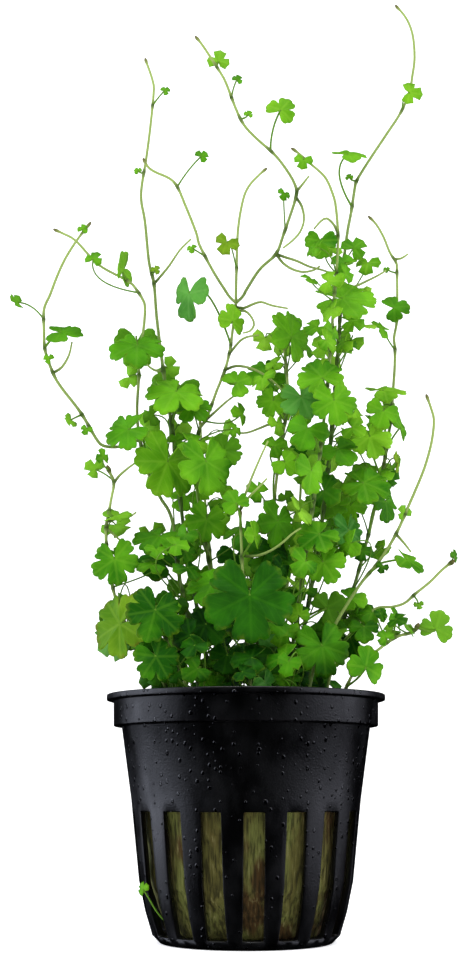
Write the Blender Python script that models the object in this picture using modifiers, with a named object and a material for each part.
"""Potted Hydrocotyle tripartita: a slotted net pot, its rock wool plug, and the plant's runners and leaves.

Sizes are in millimetres and become metres where a mesh is made. The origin is the middle of the pot's
underside, +Z is up, and the plant's front faces -Y.
"""

import math
from typing import NamedTuple

import bmesh
import bpy
import numpy as np
from mathutils import Vector

MM = 0.001
PLANT = "potted_hydrocotyle_tripartita"

# Net pot
POT_HEIGHT = 48.1
LIP_RADIUS = 28.1
LIP_THICKNESS = 1.2
BAND_RADIUS = 26.7
BAND_FOOT = 41.8
WALL_TOP_RADIUS = 25.0
WALL = 1.1
FLOOR = 1.2
BASE_RADIUS = 16.9
SLOTS = 17
SLOT_WIDTH = 4.0
SLOT_FOOT = 1.8
SLOT_HEAD = 25.2
SLOT_TURN = 3.5  # degrees from the front to the first slot
POT_STEPS = 34

# Rock wool plug
WOOL_TOP = 41.0
WOOL_STEPS = 17
GAP = 0.3

# Runners and leaves
STEM_RADIUS = 0.4
STEM_SPACING = 1.0
STEM_STRAIGHTNESS = 0.42
STALK_WIDTH = 0.6
STALK_STRAIGHTNESS = 1.4
BEHIND = 0.3  # how far behind a blade its root lies, for each millimetre between them
DROOP = 0.03
LEAF_THICKNESS = 0.5
COLLAR = 0.25  # from the end of a stalk to where its full width begins
KNEE = 1.3  # from a blade to where its stalk turns forward, where it does
MIDDLE = 0.28  # of the blade's reach, from the stalk's end to the blade's thickest place
ROOT_SHARE = 0.6  # a stalk's root lies between two points of its runner
LEAF_START = 1.0  # from a runner's middle to a stalk that is a piece of its own
SIMPLE_WIDE = 5.5  # a blade under this width has no notches
SPREADS = {5: (164, 0.30), 3: (150, 0.42)}  # for each number of lobes, half the blade's angle and its notches' depth
CLEARANCE = 1.3
SAMPLE = 0.9

# The eye from which the sighted places below are stated, and the plane that they lie in
EYE = np.array([-2.6, -310.0, 29.0])
EYE_TILT = math.radians(11.6)
PLANE_DISTANCE = 303.5
PLANE_CENTRE = (-2.6, 92.0)

# Each tone's red, green and blue
TONES = {
    "bright": (0.15, 0.42, 0.04),
    "fresh": (0.08, 0.30, 0.02),
    "yellow": (0.17, 0.36, 0.02),
    "blue": (0.07, 0.28, 0.06),
    "dark": (0.03, 0.16, 0.01),
    "deep": (0.015, 0.09, 0.005),
}


class Runner(NamedTuple):
    """A stem from its tip to its foot: sighted places (across, up, depth), and where it stands in the wool."""

    name: str
    route: list
    foot: tuple | None


class Leaf(NamedTuple):
    """A leaf by its sighted middle and width, the way its face looks, and the way its tip points.

    turn is the way the face looks, in degrees from the front towards the right; lean tips it up; spin
    is the way the tip points, clockwise from straight up; out is its depth behind its runner.
    """

    name: str
    stem: str
    across: float
    up: float
    wide: float
    lobes: int
    turn: float
    lean: float
    spin: float
    out: float
    tone: str


RUNNERS = {
    "A": Runner("stem_left_tall", [
        (-20.2, 176.4, 12), (-18.6, 171.6, 11.5), (-18.5, 169, 11), (-19.2, 162, 10), (-20, 156, 9),
        (-21, 149, 8), (-20.2, 143.6, 7), (-19.4, 135.6, 6), (-18.4, 131.2, 5.5), (-17.8, 124, 5),
        (-16.2, 111.4, 3), (-14.8, 102.4, 2), (-13.6, 92, 1), (-11.6, 76, 0), (-8.2, 58, -1),
    ], (-6, -2)),
    "B": Runner("stem_centre_arching", [
        (-10.2, 180.8, -16), (-8.6, 178.8, -16), (-5.2, 173.6, -15), (-4, 171.4, -15), (-2, 166.2, -14),
        (-0.4, 163, -13.5), (2.2, 160.2, -13), (5.8, 157, -12), (8.4, 153.6, -11), (9.8, 151, -10),
        (10, 148.6, -9), (7.4, 140.8, -7), (6, 137.2, -6), (2.8, 134.2, -5.5), (0.3, 130.4, -3.4), (-0.6, 128.7, -2.3),
    ], None),
    "C": Runner("stem_tallest", [
        (29.8, 187, 8), (31.6, 185, 8), (32.8, 182.8, 8), (33.5, 180, 8), (33.7, 176, 8),
        (33.2, 172.4, 8), (32.8, 170, 8), (31, 165.6, 7.5), (27.6, 160.4, 7), (24.8, 156.2, 7),
        (22.2, 152, 7), (21.8, 150.6, 7), (21, 145.4, 6), (20.2, 141, 5), (19.2, 132, 4),
        (18.4, 118, 3), (16.8, 98, 2), (14.4, 78, 2), (10.8, 58, 3),
    ], (9, 4)),
    "D": Runner("stem_right_upright", [
        (9, 158.4, -10), (10.2, 157.6, -10), (13.2, 155, -10), (15.8, 152.6, -10), (17.2, 149.6, -9.5),
        (18, 146.4, -9), (18.4, 139, -8), (17.6, 128, -8), (16.4, 112, -7), (14.4, 94, -7),
        (11.8, 76, -7), (9.2, 58, -7),
    ], (7, -7)),
    "E": Runner("stem_right_outer", [
        (24.4, 144.8, 16), (26, 143.2, 16), (27.6, 140.4, 15.5), (28.8, 137.4, 15), (30, 135.6, 15),
        (30.2, 133.6, 15), (30.2, 124.4, 14), (29.6, 120.4, 13), (29.8, 118.2, 13), (29.6, 112.4, 12),
        (28.4, 100, 11), (25.2, 84, 9), (20.8, 68, 8), (15.8, 54, 8),
    ], (13, 9)),
    "F": Runner("stem_centre_upright", [
        (4.2, 154.4, 14), (2.4, 152.8, 13.5), (0.6, 150.8, 13), (-0.6, 148, 12), (-1.6, 142, 9),
        (-1.9, 134, 3), (-2, 130, -0.9), (-2, 128.1, -1.7),
    ], None),
    "G": Runner("stem_left_arching", [
        (-20.6, 156.4, -12), (-19.6, 154.6, -12), (-18.2, 153.6, -11.5), (-14.4, 151.6, -11),
        (-12, 146.6, -10), (-9.8, 141, -9), (-9.4, 139.2, -8.5), (-6.6, 133.8, -5.5), (-4.2, 130, -3), (-3.4, 128.7, -2.3),
    ], None),
    "H": Runner("stem_left_branch", [
        (-38.6, 142.2, 4), (-36.4, 141.2, 4), (-34, 139.8, 3.5), (-29.4, 135, 3), (-23.6, 131.8, 2),
        (-22, 130.2, 1.5), (-20.6, 128, 1), (-20.2, 126.6, 1), (-20.4, 123, 0.5), (-21, 119, 0),
        (-21.6, 115.6, 0), (-21.4, 113.2, 0), (-21.8, 105.6, -1), (-21.2, 100, -1), (-19.8, 94, -2),
        (-17.2, 88.6, -2.5), (-14.8, 84, -3), (-13.2, 72, -4), (-10.2, 58, -6),
    ], (-9, -8)),
    "I": Runner("stem_far_left", [
        (-31, 143.6, -6), (-33.2, 140.8, -6), (-35, 138.2, -6.5), (-36.6, 135.4, -7), (-38, 132.2, -7.5),
        (-39.2, 129, -8), (-40.4, 126.2, -8), (-40.4, 122, -8), (-40.2, 118, -8), (-38.6, 113.4, -8),
        (-37, 110.6, -8), (-33, 105.4, -7), (-29.8, 100, -6.5), (-28.4, 98.8, -6), (-25.8, 98.6, -4.5),
        (-23.8, 99.1, -2.6), (-22.6, 99.6, -1.3),
    ], None),
    "K": Runner("stem_centre_fork", [
        (-2, 127.4, -1.8), (-2.8, 121, -1.5), (-3.2, 118, -1), (-4.2, 114, 0), (-5.8, 110, 0),
        (-6.8, 107.2, 0), (-8, 104, 0.5), (-9.6, 101.2, 1), (-10, 92, 1.5), (-7.5, 76, 2.5), (-4, 58, 4),
    ], (-1, 5)),
    "L": Runner("stem_left_low", [
        (-27.8, 95, -8), (-27.2, 93.4, -8), (-26.4, 91.4, -8), (-27, 88, -8.5), (-27.6, 84.4, -9),
        (-28, 82.4, -9), (-27.8, 78.4, -10), (-26, 68, -10), (-21.2, 58, -11), (-16.2, 51, -11),
    ], (-13, -10)),
    "O": Runner("stem_right_arc", [
        (36, 109.2, -4), (37.2, 105.8, -4), (37.6, 103.8, -4), (37.2, 100, -4.5), (36.2, 96, -4.5),
        (35, 92.6, -5), (32.6, 87, -5), (30, 81.2, -5.5), (26.8, 76, -6), (22.6, 70.8, -7),
        (17.8, 63, -8.5), (13.8, 55, -10),
    ], (11, -12)),
    "P": Runner("stem_right_low", [
        (41.8, 76, 4), (39.4, 74.2, 4), (36.8, 71.6, 3.5), (33.8, 69.2, 3), (31.8, 67.4, 3),
        (29.2, 66.6, 2.5), (25.8, 66.2, 2), (21.4, 62, 1), (17.8, 56, 0),
    ], (14.5, -1.5)),
    "Q": Runner("stem_right_front", [
        (34.6, 63.4, -10), (33.4, 61.6, -10.5), (30, 60.6, -11), (26.4, 58, -12), (21.8, 54, -12.5),
    ], (16.5, -9)),
    "S": Runner("stem_centre", [
        (7.6, 119, 2), (8.4, 108, 2), (6.8, 98, 2), (5.2, 84, 1), (3.2, 68, 1), (2, 56, 0.5),
    ], (1.5, 0)),
    "T": Runner("stem_front", [
        (-1.2, 86, -14), (-0.6, 72, -13), (0.2, 60, -12), (0.8, 52, -11),
    ], (1, -9)),
    "U": Runner("stem_left_front", [
        (-18.4, 67, -13), (-16.4, 61, -13.5), (-13.2, 54, -14.5),
    ], (-9, -15.5)),
    "V": Runner("stem_back_left", [
        (-9.2, 104, 18), (-8.2, 88, 17), (-6.2, 68, 14), (-4.8, 54, 12),
    ], (-4, 11)),
    "W": Runner("stem_back_right", [
        (10.8, 108, 22), (10.8, 88, 19), (7.8, 68, 15), (5.8, 54, 12.5),
    ], (4, 12)),
}

# Broad leaves, each a piece of its own
BROAD_LEAVES = [
    Leaf("leaf_front_large", "T", 0.8, 67.4, 19, 5, 0, 5, 178, -9, "dark"),
    Leaf("leaf_rim_left_pale", "U", -26, 62.8, 14, 5, -38, 5, 250, -5, "yellow"),
    Leaf("leaf_rim_left_dark", "U", -17.6, 56, 10, 5, 20, 15, 150, -4, "blue"),
    Leaf("leaf_left_low_dark", "U", -18.4, 65, 12.4, 5, 15, 10, 195, -6, "blue"),
    Leaf("leaf_front_left_dark", "T", -7, 71, 11.4, 5, -10, 42, 200, -2, "dark"),
    Leaf("leaf_rim_right_dark", "D", 15.4, 57.8, 12.6, 5, 20, 5, 170, -6, "dark"),
    Leaf("leaf_rim_right_stalked", "Q", 24.2, 55.6, 8.6, 3, 25, 0, 15, -3, "fresh"),
    Leaf("leaf_right_low_trefoil", "Q", 38.2, 63, 7, 3, 5, 5, 20, 1, "fresh"),
    Leaf("leaf_left_low", "L", -26.2, 75.4, 10, 5, -10, 5, 170, -3, "fresh"),
    Leaf("leaf_left_low_flat", "H", -17.8, 80.4, 10.6, 5, -5, 55, 200, -3, "dark"),
    Leaf("leaf_left_low_shaded", "H", -18, 75.2, 9, 3, 0, 45, 180, 2, "deep"),
    Leaf("leaf_left_large", "A", -16, 94.6, 15, 5, 34, 5, 200, -6, "bright"),
    Leaf("leaf_left_inner", "K", -7.8, 94.6, 13.4, 5, 36, 5, 172, -4, "bright"),
    Leaf("leaf_centre_left_dark", "K", -4, 97.4, 8, 5, -5, 10, 120, 2, "dark"),
    Leaf("leaf_left_wing", "H", -24.2, 101.8, 9.4, 5, -15, 25, 240, -4, "blue"),
    Leaf("leaf_left_upper_dark", "H", -21.8, 118.4, 11.6, 5, 0, 38, 180, -3, "dark"),
    Leaf("leaf_left_hanging", "K", -11.6, 128, 10.8, 3, -50, 0, 195, -3, "blue"),
    Leaf("leaf_left_middle", "A", -14.4, 109.2, 12.6, 5, 5, 42, 205, -3, "fresh"),
    Leaf("leaf_left_middle_dark", "K", -10.2, 106.2, 7.8, 5, 0, 35, 140, -1, "dark"),
    Leaf("leaf_centre_upper", "S", 9.2, 121.4, 11.4, 5, 46, 5, 20, -2, "yellow"),
    Leaf("leaf_centre_round", "S", 5.2, 107.4, 6.8, 5, 0, 5, 200, -5, "yellow"),
    Leaf("leaf_centre_dark", "S", 3.6, 113, 9, 5, -5, 30, 250, 1, "dark"),
    Leaf("leaf_centre_fresh", "K", -1.2, 111.8, 6.8, 3, 0, 20, 60, -2, "fresh"),
    Leaf("leaf_right_upper_wide", "C", 20.4, 128.4, 13.6, 5, 0, 40, 90, -4, "fresh"),
    Leaf("leaf_right_middle_pale", "S", 11.4, 108, 9.6, 5, 5, 15, 160, -4, "blue"),
    Leaf("leaf_right_middle_left", "D", 14.8, 113, 10.4, 5, 0, 25, 330, -2, "fresh"),
    Leaf("leaf_right_middle", "D", 17.8, 107.2, 9.8, 5, 10, 5, 170, -3, "fresh"),
    Leaf("leaf_right_outer_flat", "E", 28.6, 110, 9, 3, 0, 58, 75, -5, "bright"),
    Leaf("leaf_right_outer_bright", "E", 25, 100, 9.4, 5, 10, 10, 165, -7, "bright"),
    Leaf("leaf_right_lower_wide", "C", 24.4, 91.2, 11.4, 5, 5, 38, 110, -4, "blue"),
    Leaf("leaf_right_lower_blue", "C", 20.6, 81.2, 9, 5, 42, 5, 175, -5, "blue"),
    Leaf("leaf_centre_lower_dark", "S", 6.2, 83, 10.6, 5, 45, 0, 190, -4, "dark"),
    Leaf("leaf_centre_lower_shaded", "S", 5.8, 76, 11, 5, 0, 40, 160, -4, "dark"),
    Leaf("leaf_left_lower", "K", -8, 83.4, 9.2, 5, 20, 0, 190, -4, "fresh"),
    Leaf("leaf_right_lower_flat", "D", 14, 80.8, 9.2, 5, 0, 35, 230, -4, "fresh"),
    Leaf("leaf_right_lower", "D", 15.8, 75, 8.8, 5, -10, 5, 150, -2, "fresh"),
    Leaf("leaf_left_deep", "T", -8.4, 62.4, 9.6, 5, -10, 20, 200, -3, "deep"),
]

# Smaller leaves, each grown from its runner
SMALL_LEAVES = [
    Leaf("", "A", -16, 170, 2.2, 3, 0, 10, 60, -1, "fresh"),
    Leaf("", "A", -21.8, 154, 1.8, 3, 0, 10, 320, 0, "fresh"),
    Leaf("", "A", -18, 134.2, 2.2, 3, 0, 10, 30, -1, "yellow"),
    Leaf("", "A", -13.6, 100.2, 4.4, 3, 0, 20, 40, -3, "fresh"),
    Leaf("", "A", -11.8, 77, 5, 3, 10, 10, 160, -3, "dark"),
    Leaf("", "B", -5.4, 176.2, 4.8, 3, 0, 5, 10, 0, "fresh"),
    Leaf("", "B", -1.6, 172.4, 2.4, 3, 10, 10, 30, 0, "dark"),
    Leaf("", "B", 0.6, 165.4, 2, 3, 0, 10, 20, 0, "fresh"),
    Leaf("", "B", 7.4, 166.6, 6.2, 3, 0, 0, 35, -1, "bright"),
    Leaf("", "B", 7.6, 149, 3, 3, 30, 0, 200, -1, "dark"),
    Leaf("", "C", 33.4, 169.4, 5, 3, 0, 0, 95, -1, "bright"),
    Leaf("", "C", 21.2, 157.2, 7.2, 3, 5, 52, 70, -1, "fresh"),
    Leaf("", "C", 20.6, 152.8, 1.8, 3, 0, 10, 350, 0, "fresh"),
    Leaf("", "C", 22, 138.8, 5.6, 3, 0, 10, 45, -2, "fresh"),
    Leaf("", "C", 19, 135.8, 5.2, 3, 0, 20, 300, -2, "dark"),
    Leaf("", "C", 21.8, 123.6, 5.2, 3, 0, 10, 110, -1, "fresh"),
    Leaf("", "C", 21.2, 119, 2.8, 3, 0, 10, 80, -1, "dark"),
    Leaf("", "C", 19, 97.6, 8.4, 3, 0, 35, 150, -2, "dark"),
    Leaf("", "C", 16.8, 86.8, 9.4, 3, 0, 42, 160, -1, "dark"),
    Leaf("", "C", 21.6, 68.4, 6.6, 3, 0, 35, 100, -3, "fresh"),
    Leaf("", "D", 11.4, 155.6, 4, 3, 0, 10, 190, -1, "fresh"),
    Leaf("", "D", 14.8, 139, 7, 3, 0, 5, 185, -1, "fresh"),
    Leaf("", "D", 20.2, 133, 4.6, 3, 30, 5, 120, -1, "fresh"),
    Leaf("", "D", 17.4, 121, 5.8, 3, 58, 0, 180, -2, "fresh"),
    Leaf("", "D", 12, 101.4, 9, 3, 0, 20, 200, -2, "dark"),
    Leaf("", "D", 13, 92.8, 9, 3, 48, 0, 185, -1, "fresh"),
    Leaf("", "D", 10.4, 65.6, 5, 3, 0, 10, 350, -3, "bright"),
    Leaf("", "D", 17, 66.8, 7.4, 3, 0, 5, 60, -1, "dark"),
    Leaf("", "E", 28, 134.2, 1.5, 3, 0, 10, 300, 0, "fresh"),
    Leaf("", "E", 27, 122.8, 5.2, 3, 55, 20, 310, -2, "fresh"),
    Leaf("", "E", 30.4, 126.6, 6.4, 3, 0, 18, 80, -2, "dark"),
    Leaf("", "E", 27.2, 105, 7.4, 3, 10, 10, 200, -4, "fresh"),
    Leaf("", "E", 31, 103, 6, 3, 60, 10, 40, -1, "fresh"),
    Leaf("", "E", 28.2, 86.6, 8, 3, 48, 5, 170, -6, "dark"),
    Leaf("", "E", 30.4, 95.4, 4.8, 3, 74, 0, 180, -2, "yellow"),
    Leaf("", "F", -4, 139, 5.2, 3, 10, 5, 200, -5, "yellow"),
    Leaf("", "G", -8.6, 157, 3, 3, 10, 5, 50, 0, "dark"),
    Leaf("", "G", -11, 138.4, 2.2, 3, 0, 10, 290, 0, "fresh"),
    Leaf("", "H", -24.8, 134.6, 7.6, 3, 72, 0, 5, -1, "fresh"),
    Leaf("", "H", -30.4, 136.6, 3.8, 3, 5, 10, 20, -1, "fresh"),
    Leaf("", "H", -21.6, 67.4, 6, 3, 45, 5, 350, -1, "yellow"),
    Leaf("", "I", -32.6, 142.4, 2.4, 3, 0, 10, 20, -1, "fresh"),
    Leaf("", "I", -46.2, 127.8, 3.8, 3, 50, 30, 290, 0, "dark"),
    Leaf("", "I", -36, 121.6, 8.4, 3, 0, 50, 90, -1, "dark"),
    Leaf("", "I", -39.6, 116.4, 2.4, 3, 0, 10, 300, -1, "fresh"),
    Leaf("", "I", -35.4, 103.8, 3.4, 3, 50, 20, 240, 0, "fresh"),
    Leaf("", "I", -32, 102, 2.6, 3, 0, 20, 200, -1, "fresh"),
    Leaf("", "K", -2.6, 124.6, 7, 3, 40, 0, 10, -2, "bright"),
    Leaf("", "K", -1, 105.6, 5.2, 3, 55, 0, 20, -1, "fresh"),
    Leaf("", "K", -5.8, 86, 3, 3, 0, 10, 160, -1, "dark"),
    Leaf("", "L", -28.6, 97, 3.8, 3, 55, 0, 350, 0, "fresh"),
    Leaf("", "L", -30.6, 94.4, 4.4, 3, 10, 5, 300, -1, "fresh"),
    Leaf("", "L", -25.6, 84.6, 6.6, 3, 0, 60, 80, -1, "fresh"),
    Leaf("", "O", 31.4, 85.6, 3.4, 3, 20, 10, 330, 0, "fresh"),
    Leaf("", "O", 33, 75.6, 7.6, 3, 40, 45, 140, -1, "fresh"),
    Leaf("", "O", 27.2, 74.4, 2.8, 3, 0, 10, 200, -1, "dark"),
    Leaf("", "P", 41.8, 77, 2.8, 3, 50, 0, 30, 0, "dark"),
    Leaf("", "P", 25, 65, 6.2, 3, 0, 40, 200, -4, "fresh"),
    Leaf("", "P", 23.6, 62, 6.6, 3, 0, 35, 180, -5, "dark"),
    Leaf("", "P", 34.6, 66.8, 2.2, 3, 0, 10, 170, 0, "fresh"),
    Leaf("", "Q", 30.2, 64.6, 5.2, 3, 62, 0, 10, 0, "fresh"),
    Leaf("", "Q", 27.6, 60.8, 3.8, 3, 0, 20, 320, 0, "fresh"),
    Leaf("", "S", 6.2, 99, 5.6, 3, 0, 20, 60, -3, "fresh"),
    Leaf("", "S", 8.4, 95.2, 6, 3, 0, 10, 130, -3, "fresh"),
    Leaf("", "S", 10.6, 86, 5, 3, 0, 10, 60, -3, "bright"),
    Leaf("", "S", 8.2, 88.6, 3.6, 3, 0, 10, 30, -2, "dark"),
    Leaf("", "S", 8.8, 57, 4.2, 3, 0, 10, 200, -5, "yellow"),
    Leaf("", "T", -2.4, 88, 6, 3, 0, 15, 330, -1, "fresh"),
    Leaf("", "T", 1.8, 81.4, 6.2, 3, 62, 0, 10, -1, "bright"),
    Leaf("", "T", -4, 56, 8, 3, 0, 25, 190, -2, "deep"),
    Leaf("", "S", 6, 56, 8, 3, 5, 15, 170, -5, "deep"),
    Leaf("", "C", 23.8, 77.8, 5, 3, 0, 20, 90, -1, "dark"),
    Leaf("", "E", 29, 92.6, 4.6, 3, 10, 10, 60, -1, "deep"),
    Leaf("", "K", -12.4, 88, 6.6, 3, 0, 20, 200, -1, "fresh"),
    Leaf("", "A", -11.8, 70, 7.4, 3, 0, 25, 160, -2, "dark"),
    Leaf("", "S", 2, 90, 5, 3, 20, 10, 300, -2, "fresh"),
    Leaf("", "W", 12, 96, 8, 3, 0, 10, 200, -3, "deep"),
    Leaf("", "V", -2, 76, 8, 3, 0, 20, 180, -3, "deep"),
    Leaf("", "U", -15.2, 66.4, 7, 3, 10, 20, 200, 4, "deep"),
]

# Leaves on the far side stand behind the broad ones, smaller, and face the other way
FAR_SHARE = 0.84
FAR_OUT = 13.0  # behind its runner, or where that stands at the back, this much
FAR_OUT_AT_BACK = 2.0
FAR_STEMS = {"K": "V", "T": "V", "U": "V", "S": "W", "D": "W"}
FAR_LEAST = 11.0  # wide, and
FAR_HIGHEST = 125  # up, for a broad leaf that has one behind it


def unit(vector):
    return vector / np.linalg.norm(vector)


EYE_FORWARD = np.array([0.0, math.cos(EYE_TILT), math.sin(EYE_TILT)])
EYE_UPWARD = np.array([0.0, -math.sin(EYE_TILT), math.cos(EYE_TILT)])


def sight(across, up, depth):
    """The point at this depth behind the pot's axis that the eye sees at a place of the sighting plane."""
    ray = EYE_FORWARD * PLANE_DISTANCE + EYE_UPWARD * (up - PLANE_CENTRE[1])
    ray[0] = across - PLANE_CENTRE[0]
    return EYE + ray * ((depth - EYE[1]) / ray[1])


def seen(point):
    """The place of the sighting plane, across and up, at which the eye sees a point."""
    ray = np.asarray(point) - EYE
    scale = PLANE_DISTANCE / (ray @ EYE_FORWARD)
    return np.array([ray[0] * scale + PLANE_CENTRE[0], ray @ EYE_UPWARD * scale + PLANE_CENTRE[1]])


def smooth_route(points):
    """Points a millimetre or so apart on a smooth curve through these."""
    points = [np.asarray(p, float) for p in points]
    ends = [2 * points[0] - points[1], *points, 2 * points[-1] - points[-2]]
    found = []
    for before, start, end, after in zip(ends, ends[1:], ends[2:], ends[3:]):
        steps = max(1, math.ceil(np.linalg.norm(end - start) / STEM_SPACING))
        for step in range(steps):
            t = step / steps
            found.append(
                0.5 * (2 * start + (end - before) * t + (2 * before - 5 * start + 4 * end - after) * t**2
                       + (3 * start - before - 3 * end + after) * t**3)
            )
    return np.array([*found, points[-1]])


def straightened(points, tolerance):
    """The fewest of these points whose straight runs stay this near the curve."""
    run = points[-1] - points[0]
    along = np.clip((points - points[0]) @ run / max(run @ run, 1e-9), 0, 1)
    off = np.linalg.norm(points - points[0] - along[:, None] * run, axis=1)
    worst = int(off.argmax())
    if off[worst] <= tolerance or len(points) < 3:
        return [points[0], points[-1]]
    return straightened(points[: worst + 1], tolerance)[:-1] + straightened(points[worst:], tolerance)


def runner_route(runner):
    """The middle line of a runner, tip first."""
    places = [sight(*place) for place in runner.route]
    if runner.foot:
        places.append(np.array([runner.foot[0], runner.foot[1], WOOL_TOP + 2 * GAP]))
    return smooth_route(places)


def reach(angle, lobes):
    """How far the rim of a blade of unit size is from its stalk, at an angle from its tip in degrees."""
    half, depth = SPREADS[lobes]
    width = 2 * half / lobes
    axis = min(round(abs(angle) / width), lobes // 2) * width
    across = (abs(angle) - axis) / (width / 2)
    return (1 - 0.22 * (axis / half) ** 2) * (1 - depth * abs(across) ** 3)


def rim_angles(lobes, wide):
    """The angles at which a blade's outline has its corners."""
    width = 2 * SPREADS[lobes][0] / lobes
    axes = [width * (i - lobes // 2) for i in range(lobes)]
    if wide < SIMPLE_WIDE:
        return [angle for axis in axes for angle in (axis - width / 4, axis + width / 4)]
    corners = [(axis - width / 4, axis + width / 4, axis + width / 2) for axis in axes]
    return [angle for group in corners for angle in group][:-1]


def blade_size(leaf):
    """The reach of the leaf's tip, and how far the middle of its blade is from its stalk."""
    half = SPREADS[leaf.lobes][0]
    angles = np.arange(-half, half + 1, 5)
    rim = np.array([[math.sin(math.radians(a)), math.cos(math.radians(a))] for a in angles])
    rim *= np.array([reach(a, leaf.lobes) for a in angles])[:, None]
    size = leaf.wide / np.ptp(rim[:, 0])
    return size, size * (rim[:, 1].max() + rim[:, 1].min()) / 2


def frame_of(leaf):
    """The sideways, tipward and outward directions of a leaf's blade."""
    turn, lean, spin = (math.radians(v) for v in (leaf.turn, leaf.lean, leaf.spin))
    facing = np.array([math.sin(turn) * math.cos(lean), -math.cos(turn) * math.cos(lean), math.sin(lean)])
    right = np.array([math.cos(turn), math.sin(turn), 0.0])
    tip = math.cos(spin) * np.cross(facing, right) + math.sin(spin) * right
    return np.cross(tip, facing), tip, facing


class Placed(NamedTuple):
    """A leaf in its place: its stalk's line, from the runner to the blade, and its blade's size and frame."""

    leaf: Leaf
    stalk: np.ndarray
    size: float
    frame: tuple


def turned_from(toward, facing):
    """The way a blade faces, turned until its root, which lies this way from its base, is well behind it."""
    slope = toward @ facing
    if slope > 0:
        slope, facing = -slope, -facing
    if slope <= -BEHIND:
        return facing
    return math.sqrt(1 - BEHIND**2) * unit(facing - slope * toward) - BEHIND * toward


def placed_leaf(leaf, route, depth_shift, root_shift):
    """The leaf at its depth and root, each moved by a shift; its blade faces away from the root."""
    views = np.array([seen(p) for p in route])
    goal = np.array([leaf.across, leaf.up - 0.55 * leaf.wide - 1.5])
    root = int(np.linalg.norm(views - goal, axis=1).argmin())
    root = min(max(root + root_shift, 1), len(route) - 2)
    start = ROOT_SHARE * route[root] + (1 - ROOT_SHARE) * route[root + 1]
    depth = start[1] + leaf.out + depth_shift
    middle = sight(leaf.across, leaf.up, depth)
    scale = (middle - EYE) @ EYE_FORWARD / PLANE_DISTANCE
    size, offset = blade_size(leaf)
    _, tip, facing = frame_of(leaf)
    base = middle - tip * offset * scale
    gap = np.linalg.norm(base - start)
    facing = turned_from((start - base) / gap, facing)
    tip = unit(tip - (tip @ facing) * facing)
    control = base - gap * (0.38 * tip + 0.25 * facing)
    steps = max(4, math.ceil(gap / SAMPLE))
    t = np.linspace(0, 1, steps + 1)[:, None]
    stalk = (1 - t) ** 2 * start + 2 * t * (1 - t) * control + t**2 * base
    return Placed(leaf, stalk, size * scale, (np.cross(tip, facing), tip, facing))


def blade_point(placed, angle, share):
    """A point of a blade: the edge droops away from the side that it faces."""
    side, tip, facing = placed.frame
    far = placed.size * reach(angle, placed.leaf.lobes) * share
    droop = DROOP * far * far / placed.size
    turn = math.radians(angle)
    return placed.stalk[-1] + side * far * math.sin(turn) + tip * far * math.cos(turn) - facing * droop


def samples_of(placed):
    """Points all over a leaf, near enough to each other for the test of clearance."""
    half = SPREADS[placed.leaf.lobes][0]
    points = list(placed.stalk[1:])
    rings = max(2, math.ceil(placed.size / SAMPLE))
    for ring in range(1, rings + 1):
        share = ring / rings
        steps = max(6, math.ceil(math.radians(2 * half) * placed.size * share / SAMPLE))
        for angle in np.linspace(-half, half, steps + 1):
            points.append(blade_point(placed, angle, share))
    return np.array(points)


class Space:
    """What stands already, as points, so that a new leaf finds a clear depth."""

    def __init__(self):
        self.taken = []

    def add(self, points, owner=""):
        self.taken.append((points.min(axis=0), points.max(axis=0), points, owner))

    def is_clear(self, points, near, owner):
        """Whether these points are clear of all others; near its root a leaf may be close to its runner."""
        low, high = points.min(axis=0) - CLEARANCE, points.max(axis=0) + CLEARANCE
        for lowest, highest, others, name in self.taken:
            if (low > highest).any() or (high < lowest).any():
                continue
            inside = others[((others > low) & (others < high)).all(axis=1)]
            if not len(inside):
                continue
            gaps = np.linalg.norm(points[:, None] - inside[None], axis=2)
            if name == owner:
                gaps[near] = CLEARANCE
            if gaps.min() < CLEARANCE:
                return False
        return True


DEPTH_SHIFTS = (0, -1.5, 1.5, -3, 3, -4.5, 4.5, -6, 6, -8, 8, -10, 10, -12, 12, 15, -15, 18, -18, 22, 26)
ROOT_SHIFTS = (0, 3, -3, 6, -6, 9, -9, 12)


def settled(leaf, route, space):
    """The leaf at the first depth and root that leave it clear of what stands already."""
    for depth_shift in DEPTH_SHIFTS:
        for root_shift in ROOT_SHIFTS:
            placed = placed_leaf(leaf, route, depth_shift, root_shift)
            points = samples_of(placed)
            near = np.linalg.norm(points - placed.stalk[0], axis=1) < 2.2
            if points[:, 2].min() > POT_HEIGHT + 0.8 and space.is_clear(points, near, leaf.stem):
                space.add(points)
                return placed
    raise ValueError(f"no clear depth for {leaf}")


def far_leaf(leaf):
    """The leaf behind a broad one, on the runner that stands at the back there."""
    return leaf._replace(
        name="",
        stem=FAR_STEMS.get(leaf.stem, leaf.stem),
        wide=leaf.wide * FAR_SHARE,
        lobes=3,
        turn=180 - leaf.turn,
        spin=360 - leaf.spin,
        out=FAR_OUT_AT_BACK if leaf.stem in FAR_STEMS else FAR_OUT,
        tone="dark",
    )


def new_material(name, colour, roughness):
    material = bpy.data.materials.new(name)
    material.use_nodes = True
    shader = material.node_tree.nodes["Principled BSDF"]
    shader.inputs["Base Color"].default_value = (*colour, 1)
    shader.inputs["Roughness"].default_value = roughness
    return material


def new_collection(name):
    collection = bpy.data.collections.new(name)
    bpy.context.scene.collection.children.link(collection)
    return collection


def new_object(name, mesh, collection, material=None):
    made = bpy.data.objects.new(name, mesh)
    collection.objects.link(made)
    if material:
        mesh.materials.append(material)
    return made


def hide(cutter):
    cutter.hide_render = True
    cutter.display_type = "WIRE"


def mesh_from(bm, name):
    mesh = bpy.data.meshes.new(name)
    bm.to_mesh(mesh)
    bm.free()
    return mesh


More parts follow.
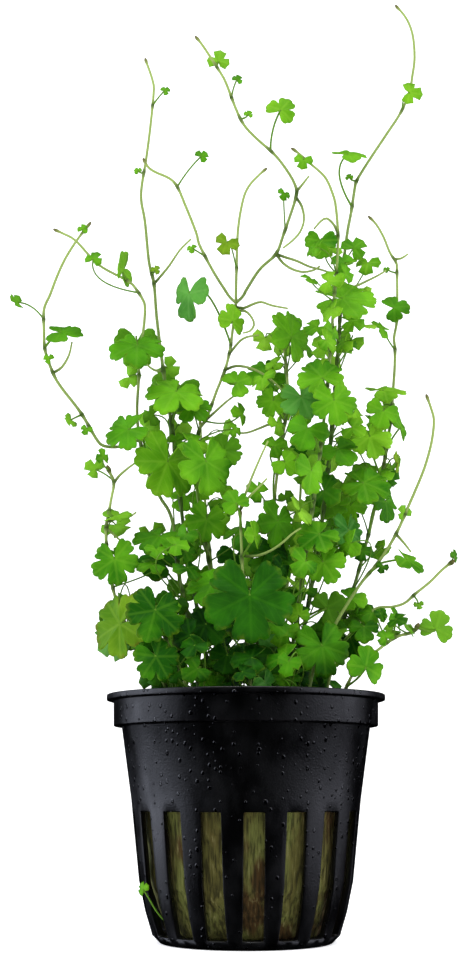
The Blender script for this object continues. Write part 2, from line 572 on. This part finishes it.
def turned_solid(name, profile, steps, collection, material):
    """A solid turned round the upright axis from (radius, height) points that end on the axis."""
    bm = bmesh.new()
    corners = [bm.verts.new((radius * MM, 0, height * MM)) for radius, height in profile]
    for corner, following in zip(corners, corners[1:]):
        bm.edges.new((corner, following))
    made = new_object(name, mesh_from(bm, name), collection, material)
    screw = made.modifiers.new("turned", "SCREW")
    screw.steps = screw.render_steps = steps
    screw.use_merge_vertices = True
    screw.merge_threshold = 1e-6
    return made


def pot_profile():
    """The pot's section, from the middle of its floor up the inside, over the lip and down the outside."""
    inside = [(0, FLOOR), (15.6, FLOOR), (20.1, 12.0), (21.8, 27.5)]
    inside += [(WALL_TOP_RADIUS - WALL, BAND_FOOT - 1.6), (BAND_RADIUS - WALL, BAND_FOOT + 0.6)]
    lip = [
        (BAND_RADIUS - WALL, POT_HEIGHT),
        (LIP_RADIUS, POT_HEIGHT),
        (LIP_RADIUS, POT_HEIGHT - LIP_THICKNESS),
        (BAND_RADIUS, POT_HEIGHT - LIP_THICKNESS),
        (BAND_RADIUS - 0.1, BAND_FOOT),
    ]
    wall = [(WALL_TOP_RADIUS, BAND_FOOT), (22.9, 27.5), (21.2, 11.9)]
    corner = [(19.9, 6.0), (18.5, 1.6), (BASE_RADIUS, 0), (0, 0)]
    return inside + lip + wall + corner


def make_pot(parts, cutters):
    pot = turned_solid("pot", pot_profile(), POT_STEPS, parts, new_material("black_plastic", (0.01,) * 3, 0.4))
    bm = bmesh.new()
    inner, outer = 14.5, LIP_RADIUS
    for i in range(SLOTS):
        angle = math.radians(SLOT_TURN + 360 * i / SLOTS)
        made = bmesh.ops.create_cube(bm, size=1)["verts"]
        for vert in made:
            along = outer if vert.co.x > 0 else inner
            across = vert.co.y * SLOT_WIDTH
            height = SLOT_HEAD if vert.co.z > 0 else SLOT_FOOT
            outward = Vector((math.sin(angle), -math.cos(angle), 0))
            sideways = Vector((math.cos(angle), math.sin(angle), 0))
            vert.co = (outward * along + sideways * across + Vector((0, 0, height))) * MM
    cutter = new_object("slot_cutter", mesh_from(bm, "slot_cutter"), cutters)
    hide(cutter)
    slots = pot.modifiers.new("slots", "BOOLEAN")
    slots.operation = "DIFFERENCE"
    slots.object = cutter


def make_wool(parts):
    profile = [(0, WOOL_TOP), (16, WOOL_TOP), (21.4, WOOL_TOP - 1.4), (19.9, 25.4), (18.4, 11)]
    profile += [(15.0, FLOOR + GAP), (0, FLOOR + GAP)]
    turned_solid("rock_wool", profile, WOOL_STEPS, parts, new_material("rock_wool", (0.12, 0.11, 0.03), 0.95))


def tube_mesh(name, points, radius):
    """A closed tube along these points, as a mesh with its caps joined to its sides."""
    curve = bpy.data.curves.new(name, "CURVE")
    curve.dimensions = "3D"
    curve.bevel_depth = radius * MM
    curve.bevel_resolution = 0
    curve.use_fill_caps = True
    spline = curve.splines.new("POLY")
    spline.points.add(len(points) - 1)
    for spot, point in zip(spline.points, points):
        spot.co = (*(point * MM), 1)
    guide = bpy.data.objects.new(name, curve)
    bpy.context.scene.collection.objects.link(guide)
    evaluated = guide.evaluated_get(bpy.context.evaluated_depsgraph_get())
    mesh = bpy.data.meshes.new_from_object(evaluated)
    bpy.data.objects.remove(guide)
    bm = bmesh.new()
    bm.from_mesh(mesh)
    bmesh.ops.remove_doubles(bm, verts=bm.verts, dist=1e-6)
    bm.to_mesh(mesh)
    bm.free()
    mesh.name = name
    return mesh


def stalk_path(placed, start):
    """The fewest points of a stalk from this far off its runner's middle; it leaves its blade backward."""
    _, tip, facing = placed.frame
    base = placed.stalk[-1]
    away = np.linalg.norm(placed.stalk - placed.stalk[0], axis=1)
    path = straightened(placed.stalk[away >= start], STALK_STRAIGHTNESS)
    length = np.linalg.norm(path[-2] - base)
    heading = (path[-2] - base) / length
    if length > 2 * KNEE and (heading @ tip > -0.5 or heading @ facing > 0):
        path.insert(-1, base - (0.6 * tip + 0.8 * facing) * KNEE)
    return path


def leaf_mesh(placed, name, start):
    """A blade with its stalk: a flat double cone drawn out to the lobes, open at its notch, where the stalk joins.

    start is how far from the runner's middle the stalk begins.
    """
    angles = rim_angles(placed.leaf.lobes, placed.leaf.wide)
    bm = bmesh.new()
    bmesh.ops.create_cone(bm, cap_ends=True, cap_tris=True, segments=len(angles) + 2, radius1=1, depth=1)
    bmesh.ops.remove_doubles(bm, verts=bm.verts, dist=1e-6)
    back, front = sorted((v for v in bm.verts if v.co.xy.length < 0.5), key=lambda v: v.co.z)
    rim = sorted((v for v in bm.verts if v.co.xy.length > 0.5), key=lambda v: math.atan2(v.co.x, v.co.y))
    side, tip, facing = placed.frame
    base = placed.stalk[-1]
    for vert, angle in zip(rim[1:-1], angles):
        vert.co = blade_point(placed, angle, 1) * MM
    across, through = side * STALK_WIDTH / 2, facing * LEAF_THICKNESS / 2
    middle = base + tip * MIDDLE * placed.size
    ring = [front, rim[-1], back, rim[0]]
    offsets = (middle - base + through, across, middle - base - through, -across)
    for vert, offset in zip(ring, offsets):
        vert.co = (base + offset) * MM
    end_faces = [face for face in bm.faces if rim[0] in face.verts and rim[-1] in face.verts]
    path = stalk_path(placed, start)
    path[-1] = base - tip * COLLAR
    heading = -tip
    for place, following in zip(path[::-1], [*path[-2::-1], None]):
        drawn = bmesh.ops.extrude_face_region(bm, geom=end_faces)["geom"]
        bmesh.ops.delete(bm, geom=end_faces, context="FACES")
        end_faces = [part for part in drawn if isinstance(part, bmesh.types.BMFace)]
        fresh = [part for part in drawn if isinstance(part, bmesh.types.BMVert)]
        ring = [min(fresh, key=lambda v, old=old: (v.co - old.co).length) for old in ring]
        if following is not None:
            heading = unit(heading + unit(following - place))
        across = unit(across - (across @ heading) * heading) * STALK_WIDTH / 2
        through = unit(np.cross(heading, across)) * LEAF_THICKNESS / 2
        for vert, offset in zip(ring, (through, across, -through, -across)):
            vert.co = (place + offset) * MM
    bmesh.ops.recalc_face_normals(bm, faces=bm.faces)
    if bm.calc_volume(signed=True) < 0:
        bmesh.ops.reverse_faces(bm, faces=bm.faces)
    return mesh_from(bm, name)


def pot_points():
    """Points round the lip, which no leaf or runner may touch."""
    rings = [(radius, height) for radius in (25.6, 26.8, 28.1) for height in (46.9, POT_HEIGHT)]
    turns = np.radians(np.arange(0, 360, 2))
    return np.array([[r * math.sin(t), -r * math.cos(t), z] for r, z in rings for t in turns])


def make_slot_shoot(parts, material):
    """The young leaf that has grown out through a slot low on the pot's left."""
    line = [(-14.4, 2.8, -8.4), (-16.4, 4, -9.4), (-18.2, 6.2, -10.2), (-19.6, 8.6, -10.8), (-20.6, 10.2, -10.8)]
    stalk = smooth_route([sight(*place) for place in line])
    leaf = Leaf("leaf_pot_slot", "", -21.2, 11.4, 2.8, 3, -40, 10, 320, 0, "bright")
    placed = Placed(leaf, stalk, blade_size(leaf)[0], frame_of(leaf))
    new_object(leaf.name, leaf_mesh(placed, leaf.name, 0), parts, material)


def main():
    for old in list(bpy.data.objects):
        bpy.data.objects.remove(old)
    parts, cutters = new_collection(PLANT), new_collection("cutters")
    make_pot(parts, cutters)
    make_wool(parts)
    materials = {tone: new_material(f"leaf_{tone}", colour, 0.45) for tone, colour in TONES.items()}
    stem_green = new_material("stem_green", (0.30, 0.42, 0.16), 0.5)

    space = Space()
    space.add(pot_points())
    routes = {key: runner_route(runner) for key, runner in RUNNERS.items()}
    for key, route in routes.items():
        space.add(route, key)

    grown = {key: [] for key in RUNNERS}
    for leaf in BROAD_LEAVES:
        placed = settled(leaf, routes[leaf.stem], space)
        new_object(leaf.name, leaf_mesh(placed, leaf.name, LEAF_START), parts, materials[leaf.tone])
    hiding = [leaf for leaf in BROAD_LEAVES if leaf.wide > FAR_LEAST and leaf.up < FAR_HIGHEST]
    for leaf in SMALL_LEAVES + [far_leaf(leaf) for leaf in hiding]:
        placed = settled(leaf, routes[leaf.stem], space)
        grown[leaf.stem].append(placed)
    make_slot_shoot(parts, materials["bright"])

    for key, runner in RUNNERS.items():
        points = straightened(routes[key], STEM_STRAIGHTNESS)
        stem = new_object(runner.name, tube_mesh(runner.name, points, STEM_RADIUS), parts, stem_green)
        sprays = bpy.data.collections.new(f"{runner.name}_leaves")
        cutters.children.link(sprays)
        for i, placed in enumerate(grown[key]):
            name = f"{runner.name}_leaf_{i + 1}"
            hide(new_object(name, leaf_mesh(placed, name, 0), sprays))
        if grown[key]:
            union = stem.modifiers.new("leaves", "BOOLEAN")
            union.operation = "UNION"
            union.operand_type = "COLLECTION"
            union.solver = "MANIFOLD"
            union.collection = sprays


main()
